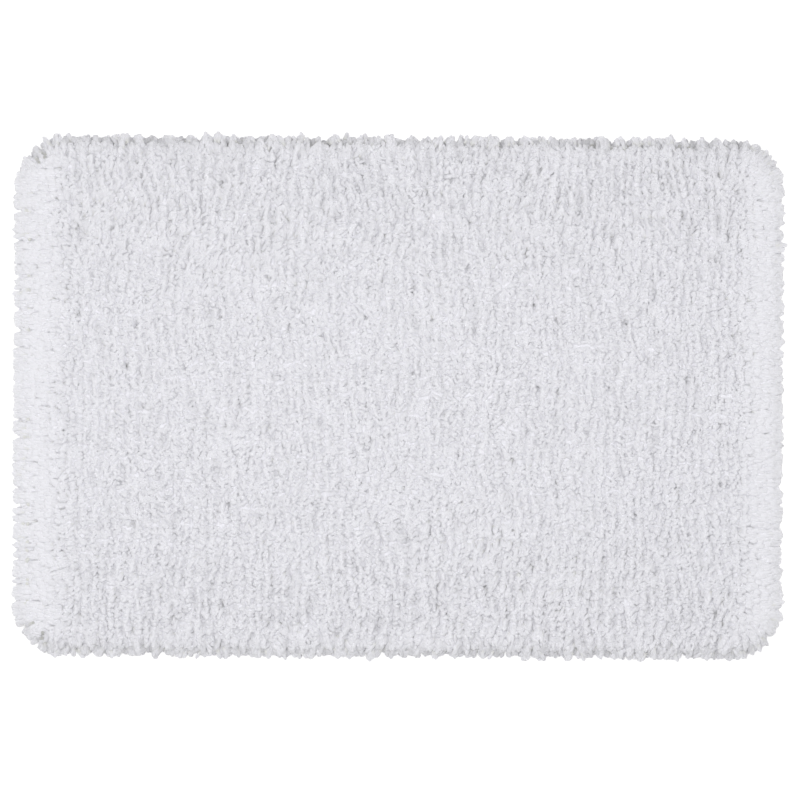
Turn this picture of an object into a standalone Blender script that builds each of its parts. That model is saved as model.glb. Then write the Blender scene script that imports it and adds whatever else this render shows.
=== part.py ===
"""Bath mat: a dense cut pile tufted through a woven cloth, with a turned hem and a non-slip latex underside.

Metres, +Z up. The origin is on the floor under the middle of the mat. +X runs along the long side.

The stack, from the floor up: the anti-slip coat inside the hem, the lock coat that holds the tufts in, the
backing cloth with its edge turned under, the tape over that edge, the two lines of lockstitch, the blank
care label that swings on its seam, and the pile in bands of tuft rows.
"""

import math

import bmesh
import bpy
from mathutils import Matrix

# Driving dimensions
MAT_LENGTH = 0.900  # over the tips of the pile, along X
MAT_WIDTH = 0.608  # over the tips of the pile, along Y
MAT_HEIGHT = 0.027
TIP_RADIUS = 0.060  # corner of the pile's outline
OVERHANG = 0.020  # pile that leans out past the hem, on every side
GAP = 0.0003  # left between touching layers

ANTISLIP_THICK = 0.0020
LOCK_THICK = 0.0007
CLOTH_THICK = 0.0010
TAPE_THICK = 0.0005
THREAD_RADIUS = 0.00015

HEM_TURN = 0.017  # cloth turned under, from the fold to the raw edge
TAPE_INSET = 0.002  # from the fold to the tape's outer edge
TAPE_WIDTH = 0.019
STITCH_INSETS = {"outer": 0.006, "inner": 0.015}
HEM_ROUNDING = 0.0008  # the folded rim of the cloth, above and below

PILE_BANDS = 24
PILE_ROUNDING = 0.0085  # the outer edge of the pile, above and below
PILE_FOOT = 0.0018  # lowest point of the pile that hangs past the hem
PILE_CLEARANCE = 0.0008  # from the hem's fold to the pile that hangs past it

LABEL_LENGTH = 0.020
LABEL_WIDTH = 0.038
LABEL_THICK = 0.0004
LABEL_INSET = 0.0045  # from the hem's fold to the label's seam
LABEL_STITCH_BACK = 0.0008  # from the label's seam in to its stitch

CORNER_STEPS = 10
THREAD_STEPS = 6
HEM_ROUNDING_STEPS = 3
PILE_ROUNDING_STEPS = 4
RIM_ANGLE = math.radians(60)  # edges sharper than this are rims
CUT_PAST = 0.001  # how far a cutter runs past the face that it cuts through
WELD = 0.00001
FLAT_ANGLE = math.radians(0.1)  # faces that meet flatter than this become one

# Sizes that follow
HEM_LENGTH = MAT_LENGTH - 2 * OVERHANG
HEM_WIDTH = MAT_WIDTH - 2 * OVERHANG
HEM_RADIUS = TIP_RADIUS - OVERHANG
LOCK_LOW = ANTISLIP_THICK + GAP
SHEET_LOW = LOCK_LOW + LOCK_THICK + GAP
SHEET_HIGH = SHEET_LOW + CLOTH_THICK
TURNED_LOW = SHEET_LOW - GAP - CLOTH_THICK
TAPE_HIGH = TURNED_LOW - GAP
TAPE_LOW = TAPE_HIGH - TAPE_THICK
BOBBIN_MIDDLE = TAPE_LOW - GAP - THREAD_RADIUS
NEEDLE_MIDDLE = SHEET_HIGH + GAP + THREAD_RADIUS
PILE_LOW = NEEDLE_MIDDLE + THREAD_RADIUS + GAP
LABEL_HIGH = TAPE_LOW - GAP
LABEL_HINGE_X = HEM_LENGTH / 2 - LABEL_INSET
LABEL_STITCH_X = LABEL_HINGE_X - LABEL_STITCH_BACK

# Colours
PILE_WHITE = (0.90, 0.90, 0.92)
CLOTH_WHITE = (0.80, 0.79, 0.76)
LATEX_MILK = (0.74, 0.73, 0.68)
COAT_GREY = (0.60, 0.61, 0.62)
TAPE_WHITE = (0.84, 0.84, 0.84)
THREAD_WHITE = (0.88, 0.88, 0.88)
LABEL_WHITE = (0.90, 0.90, 0.90)


def clear_scene():
    for existing in list(bpy.data.objects):
        bpy.data.objects.remove(existing, do_unlink=True)


def make_collection(name):
    collection = bpy.data.collections.new(name)
    bpy.context.scene.collection.children.link(collection)
    return collection


def make_material(name, colour, roughness):
    material = bpy.data.materials.new(name)
    material.use_nodes = True
    shader = material.node_tree.nodes["Principled BSDF"]
    shader.inputs["Base Color"].default_value = (*colour, 1.0)
    shader.inputs["Roughness"].default_value = roughness
    shader.inputs["Metallic"].default_value = 0.0
    return material


def rounded_outline(inset, steps):
    """The hem's outline, moved in by inset: four straight sides and four arcs, anticlockwise from above."""
    radius = HEM_RADIUS - inset
    middle_x = HEM_LENGTH / 2 - HEM_RADIUS
    middle_y = HEM_WIDTH / 2 - HEM_RADIUS
    points = []
    for quarter, (side_x, side_y) in enumerate([(1, 1), (-1, 1), (-1, -1), (1, -1)]):
        for step in range(steps + 1):
            angle = math.radians(90) * (quarter + step / steps)
            points.append(
                (
                    side_x * middle_x + radius * math.cos(angle),
                    side_y * middle_y + radius * math.sin(angle),
                )
            )
    return points


def closed_curve(name, points, height, collection):
    curve = bpy.data.curves.new(name, "CURVE")
    spline = curve.splines.new("POLY")
    spline.points.add(len(points) - 1)
    for point, (x, y) in zip(spline.points, points):
        point.co = (x, y, 0.0, 1.0)
    spline.use_cyclic_u = True
    piece = bpy.data.objects.new(name, curve)
    piece.location = (0.0, 0.0, height)
    collection.objects.link(piece)
    return piece


def as_mesh(piece):
    """The same piece as a welded mesh, in the same place, so that it takes a Boolean or a Bevel."""
    bpy.context.view_layer.update()
    graph = bpy.context.evaluated_depsgraph_get()
    mesh = bpy.data.meshes.new_from_object(piece.evaluated_get(graph))
    shape = bmesh.new()
    shape.from_mesh(mesh)
    bmesh.ops.remove_doubles(shape, verts=shape.verts, dist=WELD)
    bmesh.ops.dissolve_limit(shape, angle_limit=FLAT_ANGLE, verts=shape.verts, edges=shape.edges)
    bmesh.ops.recalc_face_normals(shape, faces=shape.faces)
    shape.to_mesh(mesh)
    shape.free()
    name, place, collection = piece.name, piece.matrix_world.copy(), piece.users_collection[0]
    bpy.data.objects.remove(piece, do_unlink=True)
    solid = bpy.data.objects.new(name, mesh)
    solid.matrix_world = place
    collection.objects.link(solid)
    return solid


def plate(name, inset, low, high, collection):
    """A flat plate with the hem's outline moved in by inset, from low to high."""
    piece = closed_curve(name, rounded_outline(inset, CORNER_STEPS), (low + high) / 2, collection)
    piece.data.dimensions = "2D"
    piece.data.fill_mode = "BOTH"
    piece.data.extrude = (high - low) / 2
    return as_mesh(piece)


def box(name, size, collection):
    """A box of this size, with its origin in its middle."""
    mesh = bpy.data.meshes.new(name)
    shape = bmesh.new()
    bmesh.ops.create_cube(shape, size=1.0, matrix=Matrix.Diagonal((*size, 1.0)))
    shape.to_mesh(mesh)
    shape.free()
    piece = bpy.data.objects.new(name, mesh)
    collection.objects.link(piece)
    return piece


def cut(piece, cutter, operation="DIFFERENCE"):
    cutter.hide_render = True
    cutter.display_type = "WIRE"
    boolean = piece.modifiers.new("cut with " + cutter.name, "BOOLEAN")
    boolean.object = cutter
    boolean.operation = operation


def round_rims(piece, width, steps):
    """Rounds the edges between a plate's flat faces and its side."""
    bevel = piece.modifiers.new("rounded rims", "BEVEL")
    bevel.width = width
    bevel.segments = steps
    bevel.limit_method = "ANGLE"
    bevel.angle_limit = RIM_ANGLE
    bevel.use_clamp_overlap = False


def make_antislip_coat(parts, material):
    inset = TAPE_INSET + TAPE_WIDTH + GAP
    coat = plate("antislip_coat", inset, 0.0, ANTISLIP_THICK, parts)
    coat.data.materials.append(material)


def make_lock_coat(parts, material):
    coat = plate("lock_coat", HEM_TURN + GAP, LOCK_LOW, LOCK_LOW + LOCK_THICK, parts)
    coat.data.materials.append(material)


def make_backing_cloth(parts, cutters, material):
    """One cloth: the sheet above, folded down at the rim, and the margin turned under it."""
    cloth = plate("backing_cloth", 0.0, TURNED_LOW, SHEET_HIGH, parts)
    cloth.data.materials.append(material)
    round_rims(cloth, HEM_ROUNDING, HEM_ROUNDING_STEPS)
    field = plate("cut_inside_the_margin", HEM_TURN, TURNED_LOW - CUT_PAST, SHEET_LOW - GAP / 2, cutters)
    fold = plate("cut_between_the_layers", CLOTH_THICK, SHEET_LOW - GAP, SHEET_LOW, cutters)
    cut(cloth, field)
    cut(cloth, fold)


def make_hem_tape(parts, cutters, material):
    tape = plate("hem_tape", TAPE_INSET, TAPE_LOW, TAPE_HIGH, parts)
    tape.data.materials.append(material)
    inner_edge = TAPE_INSET + TAPE_WIDTH
    inside = plate("cut_inside_the_tape", inner_edge, TAPE_LOW - CUT_PAST, TAPE_HIGH + CUT_PAST, cutters)
    cut(tape, inside)


def make_hem_threads(parts, material):
    """Each line of lockstitch has a needle thread on the cloth and a bobbin thread under the tape."""
    for line, inset in STITCH_INSETS.items():
        for thread, middle in (("needle", NEEDLE_MIDDLE), ("bobbin", BOBBIN_MIDDLE)):
            name = f"{thread}_thread_{line}"
            piece = closed_curve(name, rounded_outline(inset, THREAD_STEPS), middle, parts)
            piece.data.dimensions = "3D"
            piece.data.bevel_depth = THREAD_RADIUS
            piece.data.bevel_resolution = 1
            piece.data.materials.append(material)


def make_care_label(parts, material):
    """A blank satin label. Its origin is on its seam, which is the axis that it swings on."""
    label = box("care_label", (LABEL_LENGTH, LABEL_WIDTH, LABEL_THICK), parts)
    label.data.transform(Matrix.Translation((LABEL_LENGTH / 2, 0.0, 0.0)))
    label.location = (LABEL_HINGE_X, 0.0, LABEL_HIGH - LABEL_THICK / 2)
    label.data.materials.append(material)


def make_label_stitch(parts, material):
    curve = bpy.data.curves.new("label_stitch", "CURVE")
    curve.dimensions = "3D"
    curve.bevel_depth = THREAD_RADIUS
    curve.bevel_resolution = 1
    curve.use_fill_caps = True
    spline = curve.splines.new("POLY")
    spline.points.add(1)
    for point, side in zip(spline.points, (-1, 1)):
        point.co = (0.0, side * LABEL_WIDTH / 2, 0.0, 1.0)
    stitch = bpy.data.objects.new("label_stitch", curve)
    stitch.location = (LABEL_STITCH_X, 0.0, BOBBIN_MIDDLE)
    parts.objects.link(stitch)
    stitch.data.materials.append(material)


def make_pile(parts, cutters, material):
    """The pile as a block with rounded rims that hangs past the hem, cut across into bands of tuft rows."""
    block = plate("pile_block", -OVERHANG, PILE_FOOT, MAT_HEIGHT, cutters)
    round_rims(block, PILE_ROUNDING, PILE_ROUNDING_STEPS)
    over_hem = plate("cut_over_the_hem", -PILE_CLEARANCE, PILE_FOOT - CUT_PAST, PILE_LOW, cutters)
    cut(block, over_hem)
    whole = as_mesh(block)
    whole.hide_render = True
    whole.display_type = "WIRE"
    pitch = MAT_LENGTH / PILE_BANDS
    for number in range(PILE_BANDS):
        low_x = -MAT_LENGTH / 2 + number * pitch + (GAP / 2 if number > 0 else -pitch)
        high_x = -MAT_LENGTH / 2 + (number + 1) * pitch + (-GAP / 2 if number < PILE_BANDS - 1 else pitch)
        size = (high_x - low_x, 2 * MAT_WIDTH, 4 * MAT_HEIGHT)
        band = box(f"pile_rows_{number + 1:02d}", size, parts)
        band.location = ((low_x + high_x) / 2, 0.0, 0.0)
        band.data.materials.append(material)
        cut(band, whole, "INTERSECT")


def main():
    clear_scene()
    parts = make_collection("bath_mat")
    cutters = make_collection("bath_mat_cutters")
    pile_yarn = make_material("pile_yarn", PILE_WHITE, 0.95)
    backing_cloth = make_material("backing_cloth", CLOTH_WHITE, 0.90)
    lock_latex = make_material("lock_latex", LATEX_MILK, 0.60)
    antislip_latex = make_material("antislip_latex", COAT_GREY, 0.70)
    hem_twill = make_material("hem_twill", TAPE_WHITE, 0.85)
    sewing_thread = make_material("sewing_thread", THREAD_WHITE, 0.60)
    label_satin = make_material("label_satin", LABEL_WHITE, 0.45)
    make_antislip_coat(parts, antislip_latex)
    make_lock_coat(parts, lock_latex)
    make_backing_cloth(parts, cutters, backing_cloth)
    make_hem_tape(parts, cutters, hem_twill)
    make_hem_threads(parts, sewing_thread)
    make_care_label(parts, label_satin)
    make_label_stitch(parts, sewing_thread)
    make_pile(parts, cutters, pile_yarn)


main()
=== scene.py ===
"""Looks of the bath mat: cut pile yarn, woven cloth, latex coats, taped hem, lockstitch and blank label.

Metres, +Z up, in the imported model's own frame.
"""

import math

import bpy
import numpy as np
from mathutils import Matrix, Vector


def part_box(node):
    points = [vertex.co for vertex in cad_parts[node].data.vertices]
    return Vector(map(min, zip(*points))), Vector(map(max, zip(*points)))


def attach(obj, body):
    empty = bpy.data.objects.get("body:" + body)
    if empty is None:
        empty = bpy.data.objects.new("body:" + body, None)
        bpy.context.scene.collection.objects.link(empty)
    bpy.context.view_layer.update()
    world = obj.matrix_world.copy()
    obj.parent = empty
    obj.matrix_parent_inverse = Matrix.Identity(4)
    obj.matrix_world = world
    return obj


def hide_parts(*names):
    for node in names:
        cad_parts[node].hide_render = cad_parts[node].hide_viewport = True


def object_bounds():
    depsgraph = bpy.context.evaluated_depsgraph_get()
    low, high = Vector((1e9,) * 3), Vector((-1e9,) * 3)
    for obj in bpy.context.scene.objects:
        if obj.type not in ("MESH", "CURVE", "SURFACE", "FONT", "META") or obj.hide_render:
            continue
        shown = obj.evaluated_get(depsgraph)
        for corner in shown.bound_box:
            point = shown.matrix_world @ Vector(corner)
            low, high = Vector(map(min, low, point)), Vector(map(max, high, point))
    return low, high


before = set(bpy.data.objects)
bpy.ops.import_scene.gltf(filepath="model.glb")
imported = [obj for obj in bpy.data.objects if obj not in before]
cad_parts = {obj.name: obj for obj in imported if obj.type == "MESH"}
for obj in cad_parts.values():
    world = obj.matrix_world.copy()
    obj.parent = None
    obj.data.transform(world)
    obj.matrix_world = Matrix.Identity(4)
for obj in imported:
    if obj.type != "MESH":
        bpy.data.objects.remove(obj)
cad_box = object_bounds()

MM = 0.001
SEED = 20

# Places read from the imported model
CLOTH_LOW, CLOTH_HIGH = (np.array(corner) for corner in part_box("backing_cloth"))
TAPE_LOW, TAPE_HIGH = (np.array(corner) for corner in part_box("hem_tape"))
COAT_HIGH = np.array(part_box("antislip_coat")[1])
LABEL_LOW, LABEL_HIGH = (np.array(corner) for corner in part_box("care_label"))
MAT_LOW, MAT_HIGH = (np.array(corner) for corner in cad_box)
HEM_HALF = CLOTH_HIGH[:2]
TIP_HALF = MAT_HIGH[:2]
HEM_RADIUS = 40 * MM
PILE_NODES = sorted(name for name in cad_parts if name.startswith("pile_rows_"))
MAT_BODY = "mat"
CLEARANCE = 0.3 * MM

# Pile
ROW_PITCH = 3.75 * MM
STITCH_PITCH = 3.6 * MM
RIM_PITCH = 3.5 * MM
YARN_REACH = 17 * MM
YARN_RADIUS = 2.55 * MM
YARN_SIDES = 6
YARN_STEPS = 4
YARN_LUMPS = 0.14
ROOT_HEIGHT = CLOTH_HIGH[2] + 0.6 * MM
PILE_TOP = MAT_HIGH[2] - 2.6 * MM
CLUMP = (8.5 * MM, 19 * MM)
RIDGE = 11.5 * MM
CREASE_DEPTH = 3.2 * MM
DEEPEST_RELIEF = 1.5
PIT_CELL = 58 * MM
PIT_DEPTH = 6 * MM

# Combing: how far in from each side the tips are laid outward, and how much that evens out the clumps
LEFT_COMB = 95 * MM
RIGHT_COMB = 70 * MM
END_COMB = 30 * MM
COMB_CALM = 0.65

# Rim: its outline, the height of its widest place and its foot, and how far in it goes under and over
TIP_RADIUS = 60 * MM
WIDEST = 7.6 * MM
FOOT = 3.0 * MM
UNDER_REACH = 17.5 * MM
RIM_REACH = 20 * MM
UNDER_POINTS, OVER_POINTS = 40, 120
STRAY_SHARE, STRAY_REACH = 0.035, 2.6 * MM
NOTCH_PITCH = 21 * MM
NOTCH_DEPTH = 17 * MM
NOTCH_HALF_WIDTH = 3.9 * MM
UNNOTCHED_SHARE = 0.3

# Packed yarn low in the pile
CORE_DEPTH = 3.0 * MM
CORE_INSET = 11.5 * MM
CORE_STEP = 1.2 * MM
CORE_CELL = 1.9 * MM

# Hem: the cloth's edge turned under, the tape over it and two lines of lockstitch
MARGIN_TURN = 17 * MM
CLOTH_THICK = 0.7 * MM
FLAT_FROM = 36 * MM
TAPE_OUTER = 2 * MM
TAPE_INNER = 21 * MM
TAPE_THICK = 0.4 * MM
SEAM_INSETS = {"outer": 6 * MM, "inner": 15 * MM}
STITCH_LENGTH = 3.4 * MM
THREAD_RADIUS = 0.24 * MM
PUCKER = 0.16 * MM
HEM_STATIONS = 2.0 * MM
LABEL_STITCH_LENGTH = 2.6 * MM

# Anti-slip coat
FIELD_HEIGHT = 0.9 * MM
DOT_SPACING = 13 * MM
DOT_RADIUS = 2.4 * MM
DOT_SIDES = 8
DOT_HEAD = 1.25 * FIELD_HEIGHT
DOT_MARGIN = 5 * MM

# Care label
LABEL_THICK = 0.22 * MM
LABEL_CELL = 1.0 * MM

# Studio
WORLD_LIGHT = 0.38
FLOOR_HALF = 9
FLOOR_GLOW = 0.42
LENS, SENSOR = 150, 36
MAT_SHARE_OF_VIEW = 0.96
CAMERA_ASIDE = (0.0023, -0.0035)
AIM_HEIGHT = 20 * MM
CAMERA_ROLL = math.radians(0.35)


def smoothstep(low, high, value):
    t = np.clip((value - low) / (high - low), 0.0, 1.0)
    return t * t * (3.0 - 2.0 * t)


def lattice_noise(x, y, cell_x, cell_y, seed):
    """Smooth value noise from -1 to 1, with cells of this size."""
    table = np.random.default_rng(seed).uniform(-1.0, 1.0, (256, 256))
    u = x / cell_x + 97.3
    v = y / cell_y + 51.7
    iu = np.floor(u).astype(int)
    iv = np.floor(v).astype(int)
    fu = u - iu
    fv = v - iv
    fu = fu * fu * (3.0 - 2.0 * fu)
    fv = fv * fv * (3.0 - 2.0 * fv)
    a = table[iu % 256, iv % 256]
    b = table[(iu + 1) % 256, iv % 256]
    c = table[iu % 256, (iv + 1) % 256]
    d = table[(iu + 1) % 256, (iv + 1) % 256]
    return (a * (1 - fu) + b * fu) * (1 - fv) + (c * (1 - fu) + d * fu) * fv


def distance_inside(x, y, half, radius):
    """How far a point is inside a rounded rectangle."""
    past_x = np.abs(x) - (half[0] - radius)
    past_y = np.abs(y) - (half[1] - radius)
    outer = np.hypot(np.maximum(past_x, 0.0), np.maximum(past_y, 0.0))
    inner = np.minimum(np.maximum(past_x, past_y), 0.0)
    return radius - (outer + inner)


def clump_pull(x, y, cell_x, cell_y, seed):
    """For each place, the offset to the middle of its clump, the clump's number, and 1 on its border."""
    rng = np.random.default_rng(seed)
    jitter = rng.uniform(0.12, 0.88, (512, 512, 2))
    number = rng.uniform(0.0, 1.0, (512, 512))
    cu = np.floor(x / cell_x).astype(int)
    cv = np.floor(y / cell_y).astype(int)
    best = np.full(x.shape, 1e9)
    second = np.full(x.shape, 1e9)
    pull_x = np.zeros_like(x)
    pull_y = np.zeros_like(y)
    own = np.zeros_like(x)
    for du in (-1, 0, 1):
        for dv in (-1, 0, 1):
            iu = cu + du
            iv = cv + dv
            spot = jitter[iu % 512, iv % 512]
            px = (iu + spot[..., 0]) * cell_x
            py = (iv + spot[..., 1]) * cell_y
            reach = ((px - x) / cell_x) ** 2 + ((py - y) / cell_y) ** 2
            nearer = reach < best
            second = np.where(nearer, best, np.minimum(second, reach))
            best = np.where(nearer, reach, best)
            pull_x = np.where(nearer, px - x, pull_x)
            pull_y = np.where(nearer, py - y, pull_y)
            own = np.where(nearer, number[iu % 512, iv % 512], own)
    border = np.sqrt(second) - np.sqrt(best)
    return pull_x, pull_y, own, np.exp(-((border / 0.22) ** 2))


def rim_profile():
    """The pile's outside, from under the rim to its top: arc length, inset, height, normal out and up."""
    under = np.radians(np.linspace(-90, 0, UNDER_POINTS))
    over = np.radians(np.linspace(0, 90, OVER_POINTS))[1:]
    inset = np.concatenate([UNDER_REACH * (1 - np.cos(under)), RIM_REACH * (1 - np.cos(over)), [0.3]])
    height = np.concatenate(
        [
            WIDEST + (WIDEST - FOOT) * np.sin(under),
            WIDEST + (PILE_TOP - WIDEST) * np.sin(over),
            [PILE_TOP],
        ]
    )
    arc = np.concatenate([[0.0], np.cumsum(np.hypot(np.diff(inset), np.diff(height)))])
    slope_in, slope_up = np.gradient(inset, arc), np.gradient(height, arc)
    return arc, inset, height, slope_up, slope_in


ARC, INSET, HEIGHT, NORMAL_OUT, NORMAL_UP = rim_profile()
RIM_ARC = float(np.interp(RIM_REACH, INSET[UNDER_POINTS:], ARC[UNDER_POINTS:]))
WIDEST_ARC = float(ARC[UNDER_POINTS - 1])


def perimeter(half, radius):
    return 4 * ((half[0] - radius) + (half[1] - radius)) + 2 * math.pi * radius


def on_outline(s, half, radius, inset):
    """The point s metres round a rounded rectangle, moved in by inset, and its way out.
    The way round starts at the low end of the right side and goes anticlockwise."""
    flat_x, flat_y = half - radius
    quarter = math.pi / 2 * radius
    sides = [(1, -1), (1, 1), (-1, 1), (-1, -1)]
    s = s % (4 * (flat_x + flat_y) + 4 * quarter)
    x, y, angle = np.zeros_like(s), np.zeros_like(s), np.zeros_like(s)
    start = 0.0
    for leg in range(4):
        length = 2 * (flat_y if leg % 2 == 0 else flat_x)
        turn = math.pi / 2 * leg
        way = (-math.sin(turn), math.cos(turn))
        straight = (s >= start) & (s < start + length)
        run = s - start
        x = np.where(straight, sides[leg][0] * flat_x + way[0] * run, x)
        y = np.where(straight, sides[leg][1] * flat_y + way[1] * run, y)
        angle = np.where(straight, turn, angle)
        start += length
        bent = (s >= start) & (s < start + quarter)
        corner = sides[(leg + 1) % 4]
        x = np.where(bent, corner[0] * flat_x, x)
        y = np.where(bent, corner[1] * flat_y, y)
        angle = np.where(bent, turn + (s - start) / radius, angle)
        start += quarter
    out_x, out_y = np.cos(angle), np.sin(angle)
    return x + out_x * (radius - inset), y + out_y * (radius - inset), out_x, out_y


def on_rim(s, u, depth):
    """The point at s round the outline and u along the profile, this deep under the pile's outside."""
    x, y, out_x, out_y = on_outline(s, TIP_HALF, TIP_RADIUS, 0.0)
    inset = np.interp(u, ARC, INSET)
    height = np.interp(u, ARC, HEIGHT)
    normal_out = np.interp(u, ARC, NORMAL_OUT)
    normal_up = np.interp(u, ARC, NORMAL_UP)
    back = inset + depth * normal_out
    return x - out_x * back, y - out_y * back, height - depth * normal_up


def ridge_phase(x, y):
    """The pile lies in wavering ridges along Y: 0 in the valley between two of them and pi on a crest."""
    wander = 5.0 * MM * lattice_noise(x, y, 21 * MM, 30 * MM, 41)
    wander = wander + 2.6 * MM * lattice_noise(x, y, 9 * MM, 13 * MM, 42)
    slant = 13 * MM * lattice_noise(x, y, 0.13, 0.09, 46)
    return 2 * math.pi * (x + slant + wander) / RIDGE


def pile_relief(x, y):
    """How far the pile's top sinks between ridges and clumps: 0 on a crest, about 1 in a crease."""
    valley = (0.5 + 0.5 * np.cos(ridge_phase(x, y))) ** 1.4
    broken = 0.62 + 0.42 * lattice_noise(x, y, 9 * MM, 14 * MM, 43)
    wander_y = y + 5 * MM * lattice_noise(x, y, 0.016, 0.02, 44)
    crease = clump_pull(x, wander_y, *CLUMP, 21)[3]
    mottle = 0.5 + 0.5 * lattice_noise(x, y, 7 * MM, 11 * MM, 45)
    toward_ends = 1.0 + 0.4 * smoothstep(0.08, 0.27, np.abs(y))
    relief = toward_ends * (0.95 * valley * broken + 0.25 * crease * mottle + 0.28 * mottle)
    return np.minimum(relief, DEEPEST_RELIEF)


def pits(x, y):
    """1 in the middle of each of the few small holes between clumps, 0 away from them."""
    pull_x, pull_y, _, _ = clump_pull(x, y, PIT_CELL, PIT_CELL, 71)
    return 1.0 - smoothstep(1.2 * MM, 3.6 * MM, np.hypot(pull_x, 0.6 * pull_y))


def lean_field(x, y):
    """Where the tips lean to, as a vector of size 0 upright and 1 flat, and how combed out they are."""
    far = smoothstep(0.02, 0.20, np.abs(y)) * np.sign(y)
    lean_x = 0.22 * lattice_noise(x, y, 0.10, 0.08, 12) + 0.20 * lattice_noise(x, y, 0.032, 0.045, 13)
    lean_x = lean_x + 0.10 * far
    lean_y = 0.38 * far + 0.20 * lattice_noise(x, y, 0.13, 0.10, 11)
    lean_y = lean_y + 0.20 * lattice_noise(x, y, 0.035, 0.05, 14)
    comb = np.where(x < 0, LEFT_COMB, RIGHT_COMB)
    side = smoothstep(TIP_HALF[0] - comb, TIP_HALF[0] - 10 * MM, np.abs(x))
    end = smoothstep(TIP_HALF[1] - END_COMB, TIP_HALF[1] - 8 * MM, np.abs(y))
    lean_x = lean_x * (1 - side) + np.sign(x) * side
    lean_y = lean_y * (1 - np.maximum(side, 0.6 * end)) + np.sign(y) * 0.35 * end * (1 - side)
    return lean_x, lean_y, side


def interior_tufts(rng):
    """Tips on the flat of the pile, in jittered rows along Y, the yarn that leads up to each, and each
    tip's painted shade.
    """
    flat = TIP_HALF - RIM_REACH
    rows = np.arange(-flat[0], flat[0], ROW_PITCH)
    stitches = np.arange(-flat[1], flat[1], STITCH_PITCH)
    x, y = np.meshgrid(rows, stitches, indexing="ij")
    y = y + np.where(np.arange(len(rows)) % 2 > 0, STITCH_PITCH / 2, 0.0)[:, None]
    x = x.ravel() + rng.normal(0.0, 0.38 * ROW_PITCH, x.size)
    y = y.ravel() + rng.normal(0.0, 0.34 * STITCH_PITCH, y.size)
    keep = distance_inside(x, y, HEM_HALF, HEM_RADIUS) > 0
    x, y = x[keep], y[keep]
    count = len(x)
    lean_x, lean_y, side = lean_field(x, y)
    _, pull_y, own, _ = clump_pull(x, y, *CLUMP, 21)
    loose = 1.0 - COMB_CALM * side
    lean_x = lean_x + loose * (rng.normal(0.0, 0.18, count) + 0.30 * (own - 0.5))
    lean_y = lean_y + loose * rng.normal(0.0, 0.20, count) + side * rng.normal(0.0, 0.08, count)
    size = np.minimum(np.hypot(lean_x, lean_y), 1.2)
    sunk = CREASE_DEPTH * pile_relief(x, y) * loose + rng.normal(0.0, 0.24, count) * MM * loose
    sunk = sunk + PIT_DEPTH * pits(x, y) * (1 - side)
    steps = np.linspace(0.0, 1.0, YARN_STEPS + 1)
    left = (1.0 - steps)[None, :]
    deep = sunk[:, None] + (9.5 - 4.5 * size[:, None]) * MM * left**1.25
    curl = rng.normal(0.0, 0.8, count)[:, None] * MM * np.sin(math.pi * steps)[None, :]
    cling = 0.30 * loose[:, None] * steps[None, :] ** 1.5
    points = np.zeros((count, YARN_STEPS + 1, 3))
    gather = 1.1 * MM * np.sin(ridge_phase(x, y))[:, None] * loose[:, None] * steps[None, :] ** 1.5
    reach = (YARN_REACH * (0.62 + 0.38 * side))[:, None]
    points[:, :, 0] = x[:, None] - reach * lean_x[:, None] * left + gather + curl
    points[:, :, 1] = y[:, None] - reach * lean_y[:, None] * left + cling * pull_y[:, None]
    points[:, :, 2] = PILE_TOP - deep
    # Painted shade: 1 on a crest, and lower the deeper a tuft sits in a crease, a valley or a pit.
    return points, 1.0 - np.clip(sunk / CREASE_DEPTH, 0.0, 1.6)


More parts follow.
